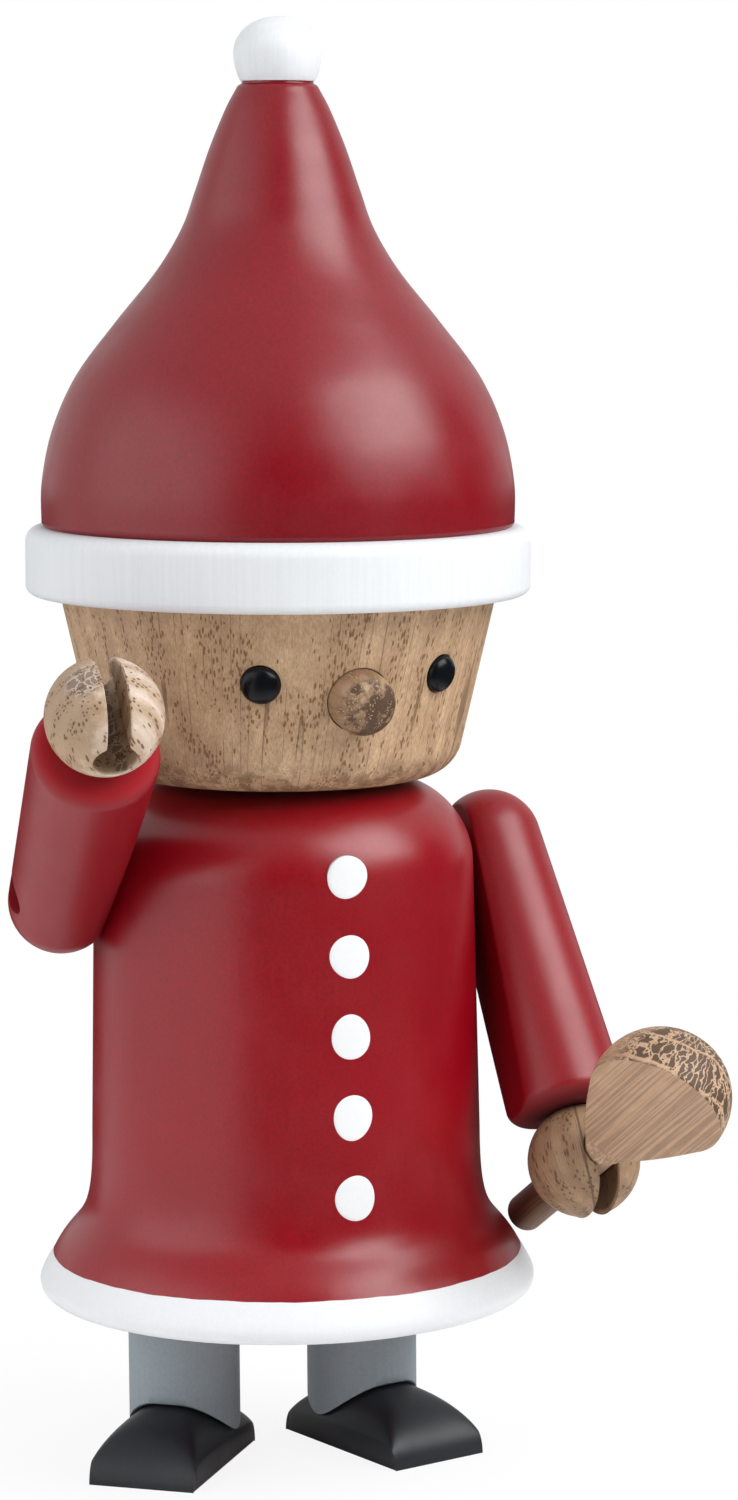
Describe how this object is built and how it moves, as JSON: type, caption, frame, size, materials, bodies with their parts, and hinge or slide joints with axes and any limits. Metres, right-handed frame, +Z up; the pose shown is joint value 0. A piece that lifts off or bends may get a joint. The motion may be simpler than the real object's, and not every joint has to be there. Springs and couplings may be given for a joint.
{
  "type": "wooden mrs claus figure",
  "caption": "Turned wooden Christmas figure in a red coat and pointed hat, with turning head, arms and legs, holding a wooden spoon.",
  "frame": {"origin": "middle of the bounding box seen from above, on the surface that the shoes stand on", "axes": "+Z up along the body, -Y to the front that the buttons are on, +X to the figure's left"},
  "size_m": [0.0898, 0.0908, 0.1999],
  "materials": {
    "red_paint": "satin red paint",
    "white_paint": "satin white paint",
    "grey_paint": "matte grey paint",
    "black_paint": "satin black paint",
    "black_gloss": "gloss black",
    "bare_oak": "bare oak, lightly oiled",
    "dowel_wood": "bare beech"
  },
  "bodies": {
    "torso": {"coat": "red_paint", "hem_ring": "white_paint", "button_1": "white_paint", "button_2": "white_paint", "button_3": "white_paint", "button_4": "white_paint", "button_5": "white_paint", "neck_dowel": "dowel_wood", "right_shoulder_pin": "dowel_wood", "left_shoulder_pin": "dowel_wood"},
    "head_and_hat": {"head": "bare_oak", "right_eye": "black_gloss", "left_eye": "black_gloss", "nose": "bare_oak", "hat_band": "white_paint", "hat": "red_paint", "bobble": "white_paint", "crown_dowel": "dowel_wood", "bobble_peg": "dowel_wood"},
    "right_arm": {"right_sleeve": "red_paint", "right_hand": "bare_oak", "right_wrist_dowel": "dowel_wood"},
    "left_arm": {"left_sleeve": "red_paint", "left_hand": "bare_oak", "left_wrist_dowel": "dowel_wood"},
    "right_leg_and_shoe": {"right_leg": "grey_paint", "right_shoe": "black_paint", "right_ankle_dowel": "dowel_wood", "right_hip_dowel": "dowel_wood"},
    "left_leg_and_shoe": {"left_leg": "grey_paint", "left_shoe": "black_paint", "left_ankle_dowel": "dowel_wood", "left_hip_dowel": "dowel_wood"},
    "held_spoon": {"spoon": "bare_oak"}
  },
  "joints": [
    {"name": "head_turn", "type": "hinge", "parent": "torso", "child": "head_and_hat", "pos_m": [-0.00202, 0.01114, 0], "axis": [0.0077, -0.0028, 1], "continuous": true},
    {"name": "right_shoulder", "type": "hinge", "parent": "torso", "child": "right_arm", "pos_m": [-0.03241, 0.01068, 0.0825], "axis": [-1, 0, 0], "range_deg": [-108, 11.5]},
    {"name": "left_shoulder", "type": "hinge", "parent": "torso", "child": "left_arm", "pos_m": [0.03089, 0.01068, 0.0825], "axis": [-1, 0, 0], "range_deg": [-10.5, 86]},
    {"name": "right_leg_turn", "type": "hinge", "parent": "torso", "child": "right_leg_and_shoe", "pos_m": [-0.01406, 0.01698, 0], "axis": [0, 0, -1], "range_deg": [-47, 22.5]},
    {"name": "left_leg_turn", "type": "hinge", "parent": "torso", "child": "left_leg_and_shoe", "pos_m": [0.01254, 0.01698, 0], "axis": [0, 0, 1], "range_deg": [-25.5, 44.5]},
    {"name": "spoon_slide", "type": "slide", "parent": "left_arm", "child": "held_spoon", "axis": [0.0348, -0.8668, 0.4975], "range_m": [0, 0.014]}
  ]
}
